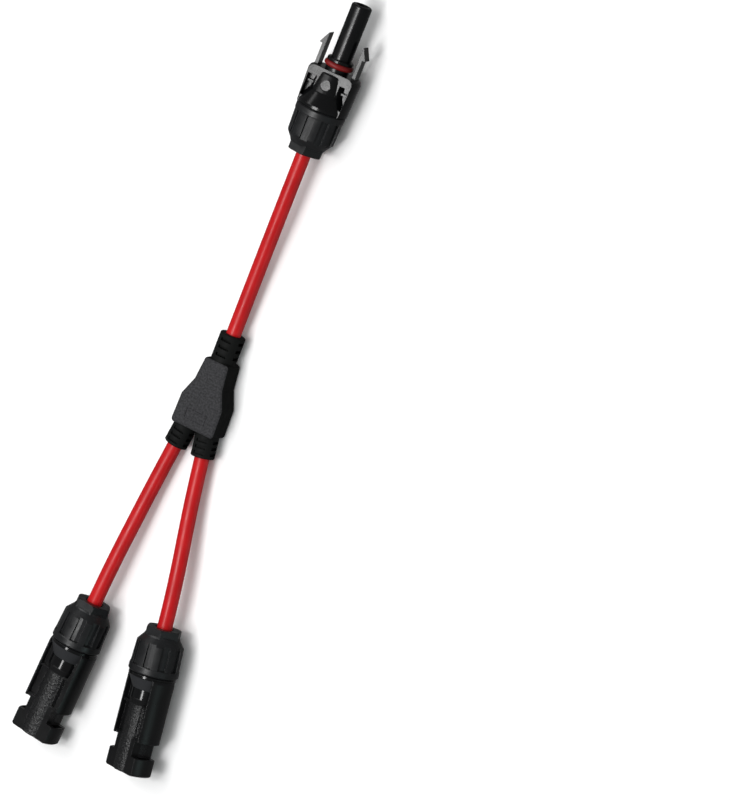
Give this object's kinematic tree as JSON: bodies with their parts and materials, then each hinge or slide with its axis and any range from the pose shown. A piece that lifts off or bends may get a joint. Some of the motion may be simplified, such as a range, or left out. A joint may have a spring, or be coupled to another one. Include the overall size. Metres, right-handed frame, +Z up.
{
  "type": "solar cable branch connector",
  "caption": "Y branch lead for solar panels: a latched plug and two latched receptacles with gland nuts, on red cables from a flat moulded junction",
  "frame": {"origin": "under the middle of the bounding box, on the surface that the lead lies on", "axes": "+Y along the lead towards the plug, +X across it, +Z up from the surface"},
  "size_m": [0.0612, 0.314, 0.0198],
  "materials": {
    "housing_black": "satin moulded nylon",
    "nut_black": "satin moulded nylon, slightly rougher",
    "junction_charcoal": "fine sand texture",
    "cable_red": "smooth cross-linked polyolefin sheath",
    "core_white": "smooth insulation",
    "copper_tinned": "tinned copper",
    "steel_spring": "spring steel",
    "o_ring_red": "smooth silicone",
    "seal_rubber": "soft rubber",
    "claw_nylon": "moulded nylon"
  },
  "bodies": {
    "root": {"junction_overmould": "junction_charcoal", "splice_ferrule": "copper_tinned", "plug_housing": "housing_black", "plug_o_ring": "o_ring_red", "plug_socket_contact": "copper_tinned", "plug_contact_spring": "steel_spring", "plug_cable_seal": "seal_rubber", "plug_cable_sheath": "cable_red", "plug_cable_insulation": "core_white", "plug_cable_conductor": "copper_tinned", "left_cable_seal": "seal_rubber", "left_cable_sheath": "cable_red", "left_cable_insulation": "core_white", "left_cable_conductor": "copper_tinned", "right_cable_seal": "seal_rubber", "right_cable_sheath": "cable_red", "right_cable_insulation": "core_white", "right_cable_conductor": "copper_tinned", "left_housing": "housing_black", "left_pin_contact": "copper_tinned", "left_retention_clip": "steel_spring", "right_housing": "housing_black", "right_pin_contact": "copper_tinned", "right_retention_clip": "steel_spring"},
    "plug_latch_left": {"plug_latch_left": "housing_black"},
    "plug_latch_right": {"plug_latch_right": "housing_black"},
    "plug_claw": {"plug_clamp_claw": "claw_nylon"},
    "plug_nut": {"plug_nut": "nut_black"},
    "left_claw": {"left_clamp_claw": "claw_nylon"},
    "left_nut": {"left_nut": "nut_black"},
    "right_claw": {"right_clamp_claw": "claw_nylon"},
    "right_nut": {"right_nut": "nut_black"}
  },
  "joints": [
    {"name": "plug_latch_left_flex", "type": "hinge", "parent": "root", "child": "plug_latch_left", "pos_m": [-0.0104, 0.12788, 0.01074], "axis": [-0.1045, 0.0011, -0.9945], "range_deg": [0, 6], "stiffness_Nm_per_rad": 0.2},
    {"name": "plug_latch_right_flex", "type": "hinge", "parent": "root", "child": "plug_latch_right", "pos_m": [0.00551, 0.12771, 0.00906], "axis": [0.1045, -0.0011, 0.9945], "range_deg": [0, 6], "stiffness_Nm_per_rad": 0.2},
    {"name": "plug_claw_slide", "type": "slide", "parent": "root", "child": "plug_claw", "axis": [-0.0105, -0.9999, 0], "range_m": [0, 0.0061]},
    {"name": "plug_nut_turn", "type": "hinge", "parent": "plug_claw", "child": "plug_nut", "pos_m": [-0.00278, 0.096, 0.0099], "axis": [-0.0105, -0.9999, 0], "range_deg": [0, 1440]},
    {"name": "left_claw_slide", "type": "slide", "parent": "root", "child": "left_claw", "axis": [0.0663, 0.9978, 0], "range_m": [0, 0.0061]},
    {"name": "left_nut_turn", "type": "hinge", "parent": "left_claw", "child": "left_nut", "pos_m": [-0.01708, -0.09895, 0.0099], "axis": [0.0663, 0.9978, 0], "range_deg": [0, 1440]},
    {"name": "right_claw_slide", "type": "slide", "parent": "root", "child": "right_claw", "axis": [-0.1219, 0.9925, 0], "range_m": [0, 0.0061]},
    {"name": "right_nut_turn", "type": "hinge", "parent": "right_claw", "child": "right_nut", "pos_m": [0.01397, -0.0957, 0.0099], "axis": [-0.1219, 0.9925, 0], "range_deg": [0, 1440]}
  ],
  "couplings": [
    {"joint": "plug_claw_slide", "follows": "plug_nut_turn", "m_per_rad": 0.00023873},
    {"joint": "left_claw_slide", "follows": "left_nut_turn", "m_per_rad": 0.00023873},
    {"joint": "right_claw_slide", "follows": "right_nut_turn", "m_per_rad": 0.00023873}
  ]
}
